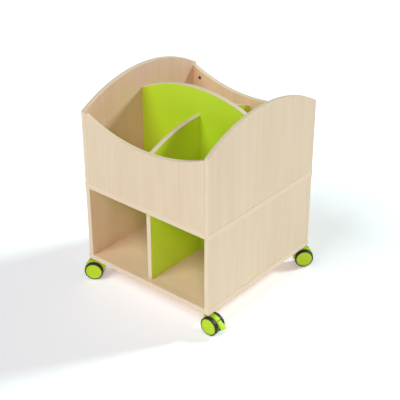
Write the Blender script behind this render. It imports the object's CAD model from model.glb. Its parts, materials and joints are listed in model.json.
"""Looks of the book cart: faced boards, edge bands, casters, studio light and camera."""
import json
import math

import bmesh
import bpy
from mathutils import Matrix, Vector


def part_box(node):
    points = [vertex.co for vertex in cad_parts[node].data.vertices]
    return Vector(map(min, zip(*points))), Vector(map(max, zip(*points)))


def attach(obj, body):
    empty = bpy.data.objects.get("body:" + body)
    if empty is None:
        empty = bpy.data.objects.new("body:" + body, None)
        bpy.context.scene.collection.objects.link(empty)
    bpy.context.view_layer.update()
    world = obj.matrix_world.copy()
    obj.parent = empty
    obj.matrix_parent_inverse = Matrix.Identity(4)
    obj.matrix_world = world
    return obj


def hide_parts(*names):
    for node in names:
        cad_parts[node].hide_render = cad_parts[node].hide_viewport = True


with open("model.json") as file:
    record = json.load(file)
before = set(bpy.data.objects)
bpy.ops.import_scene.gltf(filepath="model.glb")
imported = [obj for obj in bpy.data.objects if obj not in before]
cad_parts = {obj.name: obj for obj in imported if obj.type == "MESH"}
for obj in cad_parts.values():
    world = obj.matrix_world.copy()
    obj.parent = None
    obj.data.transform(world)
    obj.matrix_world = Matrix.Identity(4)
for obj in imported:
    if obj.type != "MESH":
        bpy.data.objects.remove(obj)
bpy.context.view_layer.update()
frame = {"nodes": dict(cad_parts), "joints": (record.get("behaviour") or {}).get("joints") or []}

MM = 0.001

CASTERS = ("front_right", "front_left", "back_right", "back_left")
BRAKED = ("front_right", "back_left")
JOINTS = {joint["name"]: joint for joint in frame["joints"]}


# ---- Colours, as they look on screen ----

MAPLE = (0.872, 0.772, 0.646)
MAPLE_DARK = (0.858, 0.752, 0.621)
MAPLE_LIGHT = (0.881, 0.786, 0.664)
BAND = (0.902, 0.802, 0.682)
GREEN = (0.797, 0.920, 0.190)
GREEN_DARK = (0.785, 0.908, 0.165)
LIME = (0.735, 0.850, 0.080)
LIME_DARK = (0.700, 0.820, 0.060)
TYRE = (0.165, 0.132, 0.105)
TYRE_DARK = (0.110, 0.088, 0.070)
STEEL = (0.720, 0.725, 0.735)
STEEL_DARK = (0.560, 0.565, 0.575)
ZINC = (0.520, 0.400, 0.290)
ZINC_DARK = (0.380, 0.280, 0.190)
BEECH = (0.780, 0.640, 0.460)
BEECH_DARK = (0.680, 0.530, 0.350)
FLOOR = (0.990, 0.976, 0.974)
FLOOR_CLOUD = (0.984, 0.970, 0.968)
FLOOR_GLOW_COLOUR = (1.0, 0.98, 0.96)
FLOOR_GLOW = 0.20
FLOOR_ROUGHNESS = 0.8

# Factors on the decor's linear colour where a board faces the inside of the box or of the cubbies
UPPER_INSIDE = (1.20, 1.00, 1.05, 1.0)
LOWER_INSIDE = (1.14, 1.07, 1.00, 1.0)


def linear(colour):
    """Scene-linear RGBA of a colour given as it looks on screen."""
    def channel(value):
        return value / 12.92 if value <= 0.04045 else ((value + 0.055) / 1.055) ** 2.4
    return tuple(channel(value) for value in colour) + (1.0,)


# ---- Materials ----

# A Mix node has sockets of the same name for numbers, vectors and colours: these are the colour ones
MIX_FIRST_COLOUR, MIX_SECOND_COLOUR = 6, 7
MIX_COLOUR = 2


class Surface:
    """A material with a Principled shader, and short ways to add and join its nodes."""

    def __init__(self, name, metallic=0.0, coat=0.0, coat_roughness=0.1, specular=0.5):
        self.material = bpy.data.materials.new(name)
        self.material.use_nodes = True
        self.tree = self.material.node_tree
        self.tree.nodes.clear()
        self.shader = self.tree.nodes.new("ShaderNodeBsdfPrincipled")
        output = self.tree.nodes.new("ShaderNodeOutputMaterial")
        self.tree.links.new(self.shader.outputs["BSDF"], output.inputs["Surface"])
        self.shader.inputs["Metallic"].default_value = metallic
        self.shader.inputs["Coat Weight"].default_value = coat
        self.shader.inputs["Coat Roughness"].default_value = coat_roughness
        self.shader.inputs["Specular IOR Level"].default_value = specular

    def add(self, kind, inputs=(), **settings):
        """New node with its settings, and its inputs set or linked."""
        node = self.tree.nodes.new(kind)
        for key, value in settings.items():
            setattr(node, key, value)
        for key, value in dict(inputs).items():
            self.feed(node.inputs[key], value)
        return node

    def feed(self, socket, value):
        """Sets a socket to a value, or links it where the value is another node's output."""
        if isinstance(value, bpy.types.NodeSocket):
            self.tree.links.new(value, socket)
        else:
            socket.default_value = value

    def place(self, turn=(0, 0, 0), shift=(0, 0, 0), stretch=(1, 1, 1)):
        """Object coordinates, turned, shifted and then stretched."""
        source = self.add("ShaderNodeTexCoord").outputs["Object"]
        turned = self.add("ShaderNodeMapping", {"Vector": source, "Rotation": turn, "Location": shift})
        return self.add("ShaderNodeMapping", {"Vector": turned.outputs[0], "Scale": stretch}).outputs[0]

    def noise(self, vector, scale, detail, roughness=0.5, distortion=0.0):
        node = self.add("ShaderNodeTexNoise", {"Vector": vector, "Scale": scale, "Detail": detail,
                                               "Roughness": roughness, "Distortion": distortion})
        return node.outputs["Fac"]

    def remap(self, value, low, high, to_low=0.0, to_high=1.0):
        node = self.add("ShaderNodeMapRange", {"Value": value, "From Min": low, "From Max": high,
                                               "To Min": to_low, "To Max": to_high})
        return node.outputs["Result"]

    def sum(self, first, second, share=1.0):
        """first + second * share"""
        node = self.add("ShaderNodeMath", operation="MULTIPLY_ADD")
        self.feed(node.inputs[0], second)
        self.feed(node.inputs[1], share)
        self.feed(node.inputs[2], first)
        return node.outputs[0]

    def blend(self, factor, first, second, kind="MIX"):
        """first at factor 0; at factor 1 second, or both multiplied if kind is MULTIPLY."""
        node = self.add("ShaderNodeMix", data_type="RGBA", blend_type=kind)
        self.feed(node.inputs["Factor"], factor)
        self.feed(node.inputs[MIX_FIRST_COLOUR], first)
        self.feed(node.inputs[MIX_SECOND_COLOUR], second)
        return node.outputs[MIX_COLOUR]

    def finish(self, colour, roughness, height, depth):
        """Joins colour, roughness and a height field that is `depth` metres deep to the shader."""
        bump = self.add("ShaderNodeBump", {"Height": height, "Distance": depth, "Strength": 1.0})
        self.feed(self.shader.inputs["Base Color"], colour)
        self.feed(self.shader.inputs["Roughness"], roughness)
        self.feed(self.shader.inputs["Normal"], bump.outputs["Normal"])
        return self.material


# Half the depth over which a board's tone changes, at the middle of its edge
INSIDE_EDGE = 0.5 * MM
# Turns that bring the grain's direction to the texture's z
GRAIN_ALONG = {"x": (0, math.pi / 2, 0), "z": (0, 0, 0)}


def inner_side(surface, inside):
    """Mask that is 1 on the half of a board that faces the inside of the cart."""
    source = surface.add("ShaderNodeTexCoord").outputs["Object"]
    place = surface.add("ShaderNodeSeparateXYZ", {"Vector": source}).outputs[inside["axis"]]
    reach = inside["sign"] * INSIDE_EDGE
    return surface.remap(place, low=inside["middle"] - reach, high=inside["middle"] + reach)


def wood(name, light, middle, dark, grain="z", shift=0.0, contrast=1.0, inside=None):
    """Printed maple decor: broad growth figure, fine fibre streaks, short pores, clear matt face."""
    surface = Surface(name, coat=0.12, coat_roughness=0.35, specular=0.45)
    offset = (shift, shift * 0.7, shift * 1.3)

    def layer(across, along, **settings):
        """Noise with so many cells to the metre across the grain and along it."""
        place = surface.place(GRAIN_ALONG[grain], offset, (across, across, along))
        return surface.noise(place, scale=1.0, **settings)

    figure = layer(across=16, along=1.1, detail=3.0, distortion=1.0)
    streaks = layer(across=150, along=3.0, detail=4.0, roughness=0.6, distortion=0.3)
    fibres = layer(across=900, along=22, detail=2.0)
    pores = layer(across=620, along=60, detail=1.0, roughness=0.4)
    pore_mask = surface.remap(pores, low=0.66, high=0.74)
    tone = surface.sum(surface.remap(figure, low=0.3, high=0.7),
                       surface.remap(streaks, low=0.3, high=0.7), share=0.8)
    tone = surface.remap(tone, low=0.45, high=1.35,
                         to_low=0.5 - 0.5 * contrast, to_high=0.5 + 0.5 * contrast)
    colour = surface.blend(tone, linear(dark), linear(light))
    fibre_mask = surface.remap(fibres, low=0.25, high=0.75, to_high=0.35)
    colour = surface.blend(fibre_mask, colour, linear(middle))
    colour = surface.blend(surface.sum(0.0, pore_mask, share=0.25), colour, linear(dark))
    if inside:
        warmer = surface.blend(1.0, colour, inside["tint"], kind="MULTIPLY")
        colour = surface.blend(inner_side(surface, inside), colour, warmer)
    roughness = surface.remap(surface.sum(streaks, fibres, share=0.5), low=0.5, high=1.0,
                              to_low=0.40, to_high=0.54)
    height = surface.sum(surface.sum(0.0, fibres, share=0.5), pore_mask, share=-0.8)
    return surface.finish(colour, roughness, height, depth=0.03 * MM)


def laminate(name, light, dark):
    """Plain coloured facing: even colour with a faint cloud in it and a fine pearl texture."""
    surface = Surface(name, coat=0.15, coat_roughness=0.3)
    cloud = surface.noise(surface.place(), scale=6.0, detail=3.0)
    grit = surface.noise(surface.place(), scale=900.0, detail=2.0, roughness=0.6)
    shade = surface.sum(surface.remap(cloud, low=0.3, high=0.7, to_high=0.7), grit, share=0.3)
    colour = surface.blend(shade, linear(dark), linear(light))
    roughness = surface.remap(grit, low=0.3, high=0.7, to_low=0.34, to_high=0.46)
    return surface.finish(colour, roughness, grit, depth=0.04 * MM)


def plastic(name, light, dark, smoothest, roughest, specular=0.5):
    """Moulded plastic: faint flow marks, fine spark-eroded texture, a few rubbed patches."""
    surface = Surface(name, specular=specular)
    flow = surface.noise(surface.place(), scale=38.0, detail=3.0, distortion=1.0)
    texture = surface.noise(surface.place(), scale=2200.0, detail=2.0)
    rub = surface.noise(surface.place(), scale=120.0, detail=4.0, roughness=0.6)
    shade = surface.sum(surface.remap(flow, low=0.3, high=0.7, to_high=0.8), texture, share=0.2)
    colour = surface.blend(shade, linear(dark), linear(light))
    roughness = surface.remap(surface.sum(rub, texture, share=0.3), low=0.45, high=0.85,
                              to_low=smoothest, to_high=roughest)
    height = surface.sum(texture, flow, share=2.0)
    return surface.finish(colour, roughness, height, depth=0.03 * MM)


def metal(name, light, dark, smoothest, roughest, metallic=1.0):
    """Plated or cast metal: cloudy tone, fine pits, uneven gloss."""
    surface = Surface(name, metallic=metallic)
    cloud = surface.noise(surface.place(), scale=90.0, detail=4.0, roughness=0.6)
    pits = surface.noise(surface.place(), scale=1500.0, detail=2.0)
    colour = surface.blend(surface.remap(cloud, low=0.3, high=0.7), linear(dark), linear(light))
    roughness = surface.remap(surface.sum(cloud, pits, share=0.4), low=0.45, high=0.95,
                              to_low=smoothest, to_high=roughest)
    return surface.finish(colour, roughness, pits, depth=0.03 * MM)


def floor_surface():
    """Pale, almost even studio floor with a weak glow of its own."""
    surface = Surface("studio_floor", specular=0.2)
    cloud = surface.noise(surface.place(), scale=1.5, detail=2.0)
    colour = surface.blend(cloud, linear(FLOOR), linear(FLOOR_CLOUD))
    surface.shader.inputs["Emission Color"].default_value = linear(FLOOR_GLOW_COLOUR)
    surface.shader.inputs["Emission Strength"].default_value = FLOOR_GLOW
    return surface.finish(colour, FLOOR_ROUGHNESS, cloud, depth=0.01 * MM)


maple_band = wood("maple_edge_band", BAND, BAND, MAPLE, grain="x", shift=3.1, contrast=0.5)
green_laminate = laminate("green_laminate", GREEN, GREEN_DARK)
beech = wood("beech_dowel", BEECH, BEECH, BEECH_DARK, shift=5.0)
lime_plastic = plastic("lime_plastic", LIME, LIME_DARK, smoothest=0.42, roughest=0.56, specular=0.35)
black_tyre = plastic("black_tyre", TYRE, TYRE_DARK, smoothest=0.40, roughest=0.56)
plated_steel = metal("zinc_plated_steel", STEEL, STEEL_DARK, smoothest=0.25, roughest=0.42)
zinc = metal("zinc_casting", ZINC, ZINC_DARK, smoothest=0.45, roughest=0.65, metallic=0.5)


# ---- Which piece has which material ----

# Maple boards and the way their grain runs
MAPLE_BOARDS = {"upper_left_wall": "z", "upper_right_wall": "z", "upper_front_wall": "z",
                "upper_back_wall": "z", "middle_board": "x", "lower_left_side": "z",
                "lower_right_side": "z", "bottom_board": "x"}
# Boards with an inner face: axis across the board, way to the inside, tone of that face
INSIDE_FACES = {"upper_left_wall": ("X", 1, UPPER_INSIDE),
                "upper_right_wall": ("X", -1, UPPER_INSIDE),
                "upper_front_wall": ("Y", 1, UPPER_INSIDE),
                "upper_back_wall": ("Y", -1, UPPER_INSIDE),
                "lower_left_side": ("X", 1, LOWER_INSIDE),
                "lower_right_side": ("X", -1, LOWER_INSIDE),
                "bottom_board": ("Z", 1, LOWER_INSIDE)}
# How far each board's figure is moved on from the board before it
BOARD_SHIFT = 0.83
GREEN_BOARDS = ("main_divider", "front_cross_divider", "rear_cross_divider", "front_partition",
                "rear_partition", "centre_panel")


def paint(node, material):
    """Gives a CAD node one material."""
    mesh = frame["nodes"][node].data
    mesh.materials.clear()
    mesh.materials.append(material)


def inside_of(board):
    """Which half of a board faces the inside, and its tone; None if both faces are alike."""
    if board not in INSIDE_FACES:
        return None
    axis, sign, tint = INSIDE_FACES[board]
    low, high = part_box(board)
    middle = (getattr(low, axis.lower()) + getattr(high, axis.lower())) / 2
    return {"axis": axis, "sign": sign, "middle": middle, "tint": tint}


for number, (board, grain) in enumerate(MAPLE_BOARDS.items()):
    paint(board, wood(f"maple_{board}", MAPLE_LIGHT, MAPLE, MAPLE_DARK, grain=grain,
                      shift=BOARD_SHIFT * number, inside=inside_of(board)))
for board in GREEN_BOARDS:
    paint(board, green_laminate)
paint("dowels", beech)
paint("cam_locks", zinc)
for name in ("cam_bolts", "caster_screws"):
    paint(name, plated_steel)
for caster in CASTERS:
    for piece in ("plate", "kingpin", "axle"):
        paint(f"{caster}_{piece}", plated_steel)
for caster in BRAKED:
    paint(f"{caster}_pedal_pin", plated_steel)


# ---- Making pieces ----

# Edges that turn by less than this are shaded smooth
SMOOTH_ANGLE = math.radians(35)


def piece_from(bm, name, material, body, slot, *nodes):
    """Turns a bmesh into a piece that rides on a body and stands for CAD nodes."""
    bmesh.ops.recalc_face_normals(bm, faces=bm.faces)
    mesh = bpy.data.meshes.new(name)
    bm.to_mesh(mesh)
    bm.free()
    for polygon in mesh.polygons:
        polygon.use_smooth = True
    mesh.set_sharp_from_angle(angle=SMOOTH_ANGLE)
    mesh.materials.append(material)
    piece = bpy.data.objects.new(name, mesh)
    bpy.context.scene.collection.objects.link(piece)
    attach(piece, body)
    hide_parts(*nodes)


# ---- Edge bands: strips with rounded long edges ----

BAND_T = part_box("upper_wall_bands")[1].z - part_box("upper_left_wall")[1].z
BAND_ROUND = 1.2 * MM
ROUND_STEPS = 4
ARC_STEPS = 96
# Vertices nearer than this to a plane are on it
ON_PLANE = 0.01 * MM


def band_profile(width):
    """Quarter round at each long edge: (across, height) pairs, height 0 on the band's face."""
    half = width / 2
    left = [(-half, -BAND_T)]
    for step in range(ROUND_STEPS + 1):
        angle = math.pi / 2 * step / ROUND_STEPS
        left.append((-half + BAND_ROUND * (1 - math.cos(angle)),
                     -BAND_ROUND + BAND_ROUND * math.sin(angle)))
    return left + [(-across, height) for across, height in reversed(left)]


def add_strip(bm, stations, side, width):
    """Strip along stations of (point on its face, outward direction); side points across it."""
    side = Vector(side)
    rings = []
    for point, outward in stations:
        rings.append([bm.verts.new(point + side * across + outward * height)
                      for across, height in band_profile(width)])
    for near, far in zip(rings, rings[1:]):
        for i in range(len(near)):
            j = (i + 1) % len(near)
            bm.faces.new((near[i], near[j], far[j], far[i]))
    bm.faces.new(rings[0])
    bm.faces.new(list(reversed(rings[-1])))


def add_straight(bm, start, end, outward, side, width):
    """Strip from start to end, which are points on its face."""
    outward = Vector(outward)
    add_strip(bm, [(Vector(start), outward), (Vector(end), outward)], side, width)


def edge_circle(node, flat, value, level):
    """Circle through three points of a board's top, on the plane where the flat axis is at value."""
    along = 1 - flat
    outline = [v.co for v in frame["nodes"][node].data.vertices
               if abs(v.co[flat] - value) < ON_PLANE and v.co.z > level]
    outline = sorted((co[along], co.z) for co in outline)
    (ax, az), (bx, bz), (cx, cz) = outline[0], outline[len(outline) // 2], outline[-1]
    # Four times the signed area of the points' triangle
    four_areas = 2 * (ax * (bz - cz) + bx * (cz - az) + cx * (az - bz))
    sa, sb, sc = ax * ax + az * az, bx * bx + bz * bz, cx * cx + cz * cz
    x = (sa * (bz - cz) + sb * (cz - az) + sc * (az - bz)) / four_areas
    z = (sa * (cx - bx) + sb * (ax - cx) + sc * (bx - ax)) / four_areas
    return x, z, math.hypot(ax - x, az - z)


def add_arc(bm, node, flat, reach=0.0):
    """Band along a board's curved top edge; reach is how far it runs past the board's ends.

    flat is the horizontal axis across the board: 0 for x and 1 for y.
    """
    low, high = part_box(node)
    along = 1 - flat
    level = (low.z + high.z) / 2
    centre, centre_z, radius = edge_circle(node, flat, high[flat], level)
    sign = 1 if centre_z < level else -1
    radius += sign * BAND_T
    start, end = low[along] - reach, high[along] + reach
    first = math.asin((start - centre) / radius)
    last = math.asin((end - centre) / radius)
    middle = (low[flat] + high[flat]) / 2
    stations = []
    for step in range(ARC_STEPS + 1):
        angle = first + (last - first) * step / ARC_STEPS
        outward = Vector((0, 0, math.cos(angle)))
        outward[along] = sign * math.sin(angle)
        point = Vector((0, 0, centre_z + sign * radius * math.cos(angle)))
        point[along] = centre + radius * math.sin(angle)
        point[flat] = middle
        stations.append((point, outward))
    side = Vector((0, 0, 0))
    side[flat] = 1
    add_strip(bm, stations, side, high[flat] - low[flat])


def add_upright_edges(bm, node):
    """Straight bands on a board's upright edges towards -Y and +Y."""
    low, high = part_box(node)
    middle = (low.x + high.x) / 2
    top = min(high.z, max(v.co.z for v in frame["nodes"][node].data.vertices
                          if abs(v.co.y - high.y) < ON_PLANE))
    for sign, y in ((-1, low.y - BAND_T), (1, high.y + BAND_T)):
        add_straight(bm, (middle, y, low.z), (middle, y, top), (0, sign, 0), (1, 0, 0), high.x - low.x)


def upper_wall_edges():
    """Bands of the box's walls: curved tops, and the side walls' upright edges."""
    bm = bmesh.new()
    for node in ("upper_left_wall", "upper_right_wall"):
        add_arc(bm, node, 0, BAND_T)
        add_upright_edges(bm, node)
    for node in ("upper_front_wall", "upper_back_wall"):
        add_arc(bm, node, 1)
    return bm


def divider_edges():
    """Bands of the dividers' curved tops."""
    bm = bmesh.new()
    add_arc(bm, "main_divider", 1)
    add_arc(bm, "front_cross_divider", 0)
    add_arc(bm, "rear_cross_divider", 0)
    return bm


def board_edges():
    """Bands round the middle and bottom boards."""
    bm = bmesh.new()
    for node in ("middle_board", "bottom_board"):
        low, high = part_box(node)
        middle = (low.z + high.z) / 2
        thick = high.z - low.z
        left, right = low.x - BAND_T, high.x + BAND_T
        for sign, y in ((-1, low.y - BAND_T), (1, high.y + BAND_T)):
            add_straight(bm, (left, y, middle), (right, y, middle), (0, sign, 0), (0, 0, 1), thick)
        for sign, x in ((-1, left), (1, right)):
            add_straight(bm, (x, low.y, middle), (x, high.y, middle), (sign, 0, 0), (0, 0, 1), thick)
    return bm


def lower_side_edges():
    """Bands of the lower sides' upright edges."""
    bm = bmesh.new()
    add_upright_edges(bm, "lower_left_side")
    add_upright_edges(bm, "lower_right_side")
    return bm


def partition_edges():
    """Bands of the partitions' outer edges."""
    bm = bmesh.new()
    for node, sign in (("front_partition", -1), ("rear_partition", 1)):
        low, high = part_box(node)
        y = (low.y if sign < 0 else high.y) + sign * BAND_T
        add_straight(bm, (0, y, low.z), (0, y, high.z), (0, sign, 0), (1, 0, 0), high.x - low.x)
    return bm


for name, make, node in (("upper_wall_edges", upper_wall_edges, "upper_wall_bands"),
                         ("divider_edges", divider_edges, "divider_bands"),
                         ("board_edges", board_edges, "board_bands"),
                         ("lower_side_edges", lower_side_edges, "lower_side_bands"),
                         ("partition_edges", partition_edges, "partition_bands")):
    piece_from(make(), name, maple_band, "carcass", "maple_edge_band", node)


# ---- Casters ----

HOOD_ROUND = 0.7 * MM
PEDAL_ROUND = 0.9 * MM
ROUND_SEGMENTS = 2
# The CAD mesh's doubled vertices are joined within this distance
CAD_WELD = 0.002 * MM
# Faces that meet at less than FLAT_ANGLE become one; edges that turn by more than SHARP_ANGLE are rounded
FLAT_ANGLE = math.radians(0.5)
SHARP_ANGLE = math.radians(40)


def softened(node, name, material, body, slot, width):
    """Copy of a CAD node with its sharp edges rounded to the given width."""
    bm = bmesh.new()
    bm.from_mesh(frame["nodes"][node].data)
    bmesh.ops.remove_doubles(bm, verts=bm.verts, dist=CAD_WELD)
    bmesh.ops.dissolve_limit(bm, angle_limit=FLAT_ANGLE, verts=bm.verts, edges=bm.edges)
    sharp = [edge for edge in bm.edges
             if len(edge.link_faces) == 2 and edge.calc_face_angle(0) > SHARP_ANGLE]
    bmesh.ops.bevel(bm, geom=sharp, offset=width, segments=ROUND_SEGMENTS, profile=0.5,
                    affect="EDGES", clamp_overlap=True)
    piece_from(bm, name, material, body, slot, node)


def wheel_place(caster, side):
    """Matrix whose origin is on the axle and whose +Z is the axle, pointing to the wheel's outside."""
    joint = JOINTS[f"{caster}_spin_{side}"]
    axis = Vector(joint["axis"]) * (1 if side == "b" else -1)
    turn = axis.to_track_quat("Z", "Y").to_matrix().to_4x4()
    return Matrix.Translation(Vector(joint["pos_m"])) @ turn


def wheel_span(node, place):
    """Nearest and farthest distance of a node from the caster's middle, and its radius."""
    local = [place.inverted() @ v.co for v in frame["nodes"][node].data.vertices]
    return (min(p.z for p in local), max(p.z for p in local),
            max(math.hypot(p.x, p.y) for p in local))


WHEEL_STEPS = 96
CORNER_STEPS = 5
# Copies of a point on the axle are joined within this distance
AXLE_WELD = 0.001 * MM


def turned(profile, place):
    """Solid of revolution from a closed outline of (radius, distance) pairs."""
    bm = bmesh.new()
    rings = []
    for step in range(WHEEL_STEPS):
        angle = 2 * math.pi * step / WHEEL_STEPS
        spoke = Vector((math.cos(angle), math.sin(angle), 0))
        rings.append([bm.verts.new(place @ (spoke * radius + Vector((0, 0, distance))))
                      for radius, distance in profile])
    for i, near in enumerate(rings):
        far = rings[(i + 1) % WHEEL_STEPS]
        for j in range(len(profile)):
            k = (j + 1) % len(profile)
            bm.faces.new((near[j], near[k], far[k], far[j]))
    bmesh.ops.remove_doubles(bm, verts=bm.verts, dist=AXLE_WELD)
    return bm


def rounded(centre_radius, centre_distance, radius, start, end):
    """Points of a round corner of an outline, from one angle to another in degrees."""
    points = []
    for step in range(CORNER_STEPS + 1):
        angle = math.radians(start + (end - start) * step / CORNER_STEPS)
        points.append((centre_radius + radius * math.cos(angle),
                       centre_distance + radius * math.sin(angle)))
    return points


TREAD_ROUND = 3 * MM
GROOVE_DEPTH = 0.5 * MM
GROOVE_WIDTH = 1.0 * MM
# From the tyre's side to the middle of the groove
GROOVE_IN = 4.8 * MM


def tyre_profile(near, far, inner, outer):
    """Tread with round shoulders and a shallow groove beside each."""
    points = [(inner, near)]
    points += rounded(outer - TREAD_ROUND, near + TREAD_ROUND, TREAD_ROUND, -90, 0)
    floor = outer - GROOVE_DEPTH
    for middle in (near + GROOVE_IN, far - GROOVE_IN):
        points += [(outer, middle - GROOVE_WIDTH / 2), (floor, middle - GROOVE_WIDTH / 4),
                   (floor, middle + GROOVE_WIDTH / 4), (outer, middle + GROOVE_WIDTH / 2)]
    points += rounded(outer - TREAD_ROUND, far - TREAD_ROUND, TREAD_ROUND, 0, 90)
    points += [(inner, far)]
    return points


HUB_BORE = 4.05 * MM
HUB_BOSS = 8.0 * MM
HUB_SKIN = 2.5 * MM
LIP_WIDTH = 3.0 * MM
LIP_OUTER_ROUND = 0.8 * MM
LIP_INNER_ROUND = 0.6 * MM
LIP_FOOT = 0.3 * MM
LIP_FOOT_HEIGHT = 0.2 * MM
DISH_DROP = 1.0 * MM
DISH_SAG = 0.1 * MM
RING_RADIUS = 12.0 * MM
RING_HALF_FOOT = 1.0 * MM
RING_HALF_TOP = 0.4 * MM
RING_HEIGHT = 0.25 * MM
BUTTON_RADIUS = 5.0 * MM
BUTTON_FOOT = 0.6 * MM
BUTTON_HEIGHT = 0.5 * MM


def hub_profile(near, far, outer):
    """Dished cap: round lip, shallow dish, one faint ring, small centre button, hollow behind."""
    lip = outer - LIP_WIDTH
    dish = far - DISH_DROP
    sagged = dish - DISH_SAG
    barrel = outer - HUB_SKIN
    skin = dish - HUB_SKIN
    points = [(HUB_BORE, near), (HUB_BOSS, near), (HUB_BOSS, skin), (barrel, skin), (barrel, near)]
    points += [(outer, near)]
    points += rounded(outer - LIP_OUTER_ROUND, far - LIP_OUTER_ROUND, LIP_OUTER_ROUND, 0, 90)
    points += rounded(lip + LIP_INNER_ROUND, far - LIP_INNER_ROUND, LIP_INNER_ROUND, 90, 180)
    points += [(lip, dish + LIP_FOOT_HEIGHT), (lip - LIP_FOOT, dish)]
    points += [(RING_RADIUS + RING_HALF_FOOT, sagged), (RING_RADIUS + RING_HALF_TOP, dish + RING_HEIGHT)]
    points += [(RING_RADIUS - RING_HALF_TOP, dish + RING_HEIGHT), (RING_RADIUS - RING_HALF_FOOT, sagged)]
    points += [(BUTTON_RADIUS + BUTTON_FOOT, sagged)]
    points += rounded(BUTTON_RADIUS - BUTTON_HEIGHT, dish, BUTTON_HEIGHT, 0, 90)
    points += [(0, dish + BUTTON_HEIGHT), (0, skin), (HUB_BORE, skin)]
    return points


def add_wheel(caster, side):
    """Tyre and hub of one wheel."""
    place = wheel_place(caster, side)
    near, far, outer = wheel_span(f"{caster}_tyre_{side}", place)
    hub_near, hub_far, hub_outer = wheel_span(f"{caster}_hub_{side}", place)
    body = f"{caster}_wheel_{side}"
    piece_from(turned(tyre_profile(near, far, hub_outer, outer), place), f"{caster}_tread_{side}",
               black_tyre, body, "black_tyre", f"{caster}_tyre_{side}")
    piece_from(turned(hub_profile(hub_near, hub_far, hub_outer), place), f"{caster}_cap_{side}",
               lime_plastic, body, "lime_plastic", f"{caster}_hub_{side}")


for caster in CASTERS:
    for side in "ab":
        add_wheel(caster, side)
    softened(f"{caster}_housing", f"{caster}_hood", lime_plastic, f"{caster}_swivel",
             "lime_plastic", HOOD_ROUND)
for caster in BRAKED:
    softened(f"{caster}_pedal", f"{caster}_brake_pedal", lime_plastic, f"{caster}_brake",
             "lime_plastic", PEDAL_ROUND)


# ---- Studio ----

FLOOR_SIZE = 30.0
AMBIENT = 0.05
BACKDROP = 1.0
WHITE = (1.0, 1.0, 1.0, 1.0)

# Lights: name, azimuth and elevation of the source, strength, colour, width of the source in degrees
LIGHTS = (("key", 151.6, 33.0, 2.58, (0.74, 0.99, 0.97), 12.0),
          ("camera_side_fill", 42.0, 32.0, 1.06, (0.96, 0.74, 0.96), 20.0),
          ("front_fill", -15.0, 50.0, 1.60, (0.83, 0.965, 0.99), 30.0),
          ("low_front_fill", -5.0, 28.0, 0.34, (0.60, 1.00, 0.92), 30.0))
SUN_DISTANCE = 5.0

# The lens and the sensor's width are in millimetres
CAMERA_LENS = 91.6
SENSOR_WIDTH = 36.0
CAMERA_AZIMUTH = 39.8
CAMERA_ELEVATION = 29.8
CAMERA_DISTANCE = 4.0
LOOK_AT = Vector((0, 0, 0.330))


def direction(azimuth, elevation):
    """Unit vector from the cart towards a place round it; azimuth 0 is -Y and 90 is +X."""
    turn, rise = math.radians(azimuth), math.radians(elevation)
    return Vector((math.sin(turn) * math.cos(rise), -math.cos(turn) * math.cos(rise), math.sin(rise)))


def add_floor():
    """Square floor under the cart, which isn't part of it."""
    mesh = bpy.data.meshes.new("floor")
    half = FLOOR_SIZE / 2
    corners = [(-half, -half, 0), (half, -half, 0), (half, half, 0), (-half, half, 0)]
    mesh.from_pydata(corners, [], [(0, 1, 2, 3)])
    mesh.materials.append(floor_surface())
    floor = bpy.data.objects.new("floor", mesh)
    bpy.context.scene.collection.objects.link(floor)


def add_sun(name, azimuth, elevation, strength, colour, width):
    """Parallel light from a place round the cart; a wide source gives soft shadows."""
    data = bpy.data.lights.new(name, "SUN")
    data.energy = strength
    data.color = colour
    data.angle = math.radians(width)
    light = bpy.data.objects.new(name, data)
    towards = direction(azimuth, elevation)
    light.location = towards * SUN_DISTANCE
    light.rotation_mode = "QUATERNION"
    light.rotation_quaternion = towards.to_track_quat("Z", "Y")
    bpy.context.scene.collection.objects.link(light)


def add_camera():
    """Camera at the photograph's place, as near as an unshifted lens can come to it."""
    data = bpy.data.cameras.new("camera")
    data.lens = CAMERA_LENS
    data.sensor_width = SENSOR_WIDTH
    camera = bpy.data.objects.new("camera", data)
    towards = direction(CAMERA_AZIMUTH, CAMERA_ELEVATION)
    camera.location = LOOK_AT + towards * CAMERA_DISTANCE
    camera.rotation_mode = "QUATERNION"
    camera.rotation_quaternion = towards.to_track_quat("Z", "Y")
    bpy.context.scene.collection.objects.link(camera)
    bpy.context.scene.camera = camera


def set_world(ambient, backdrop):
    """White surroundings that the camera sees as bright as backdrop, but that light only as ambient."""
    world = bpy.data.worlds.new("studio")
    world.use_nodes = True
    nodes, links = world.node_tree.nodes, world.node_tree.links
    seen = nodes.new("ShaderNodeLightPath").outputs["Is Camera Ray"]
    strength = nodes.new("ShaderNodeMapRange")
    strength.inputs["To Min"].default_value = ambient
    strength.inputs["To Max"].default_value = backdrop
    background = nodes["Background"]
    background.inputs["Color"].default_value = WHITE
    links.new(seen, strength.inputs["Value"])
    links.new(strength.outputs["Result"], background.inputs["Strength"])
    bpy.context.scene.world = world


add_floor()
set_world(AMBIENT, BACKDROP)
for light in LIGHTS:
    add_sun(*light)
add_camera()
bpy.context.scene.view_settings.view_transform = "Standard"
